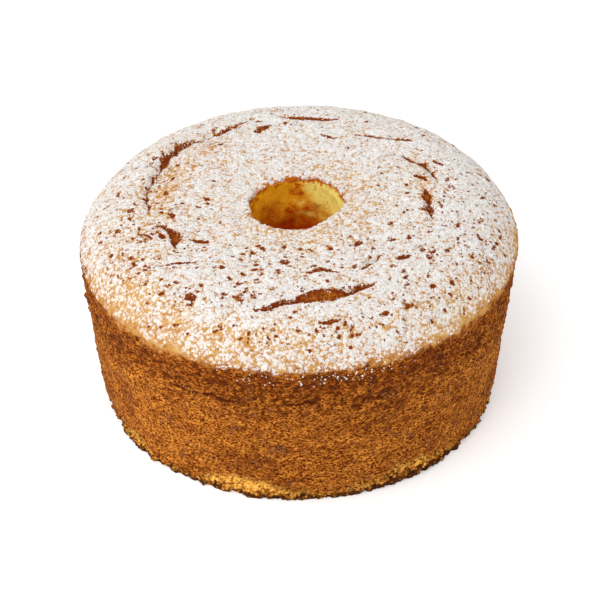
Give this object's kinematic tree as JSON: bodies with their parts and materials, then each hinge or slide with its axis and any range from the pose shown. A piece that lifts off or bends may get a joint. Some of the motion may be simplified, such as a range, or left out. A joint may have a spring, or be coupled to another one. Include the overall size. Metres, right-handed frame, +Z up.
{
  "type": "ring cake",
  "caption": "Tall round ring cake with a domed, cracked top dusted with icing sugar, a straight tapering crust side and a hole through the middle.",
  "frame": {"origin": "centre of the foot, on the surface the cake stands on", "axes": "+Z up along the hole; the front, with the widest crack of the top nearest, faces -Y, and +X is to its right"},
  "size_m": [0.23, 0.23, 0.1155],
  "materials": {
    "crust": "baked golden-brown cake crust, fine-pored and dry, darker under the rim and in the cracks",
    "crumb": "torn yellow cake crumb, soft and open-pored, dull",
    "icing_sugar": "fine dry icing sugar, matte white, thin and uneven so that the crust shows through"
  },
  "bodies": {
    "root": {"ring_cake": "crust"}
  },
  "joints": []
}
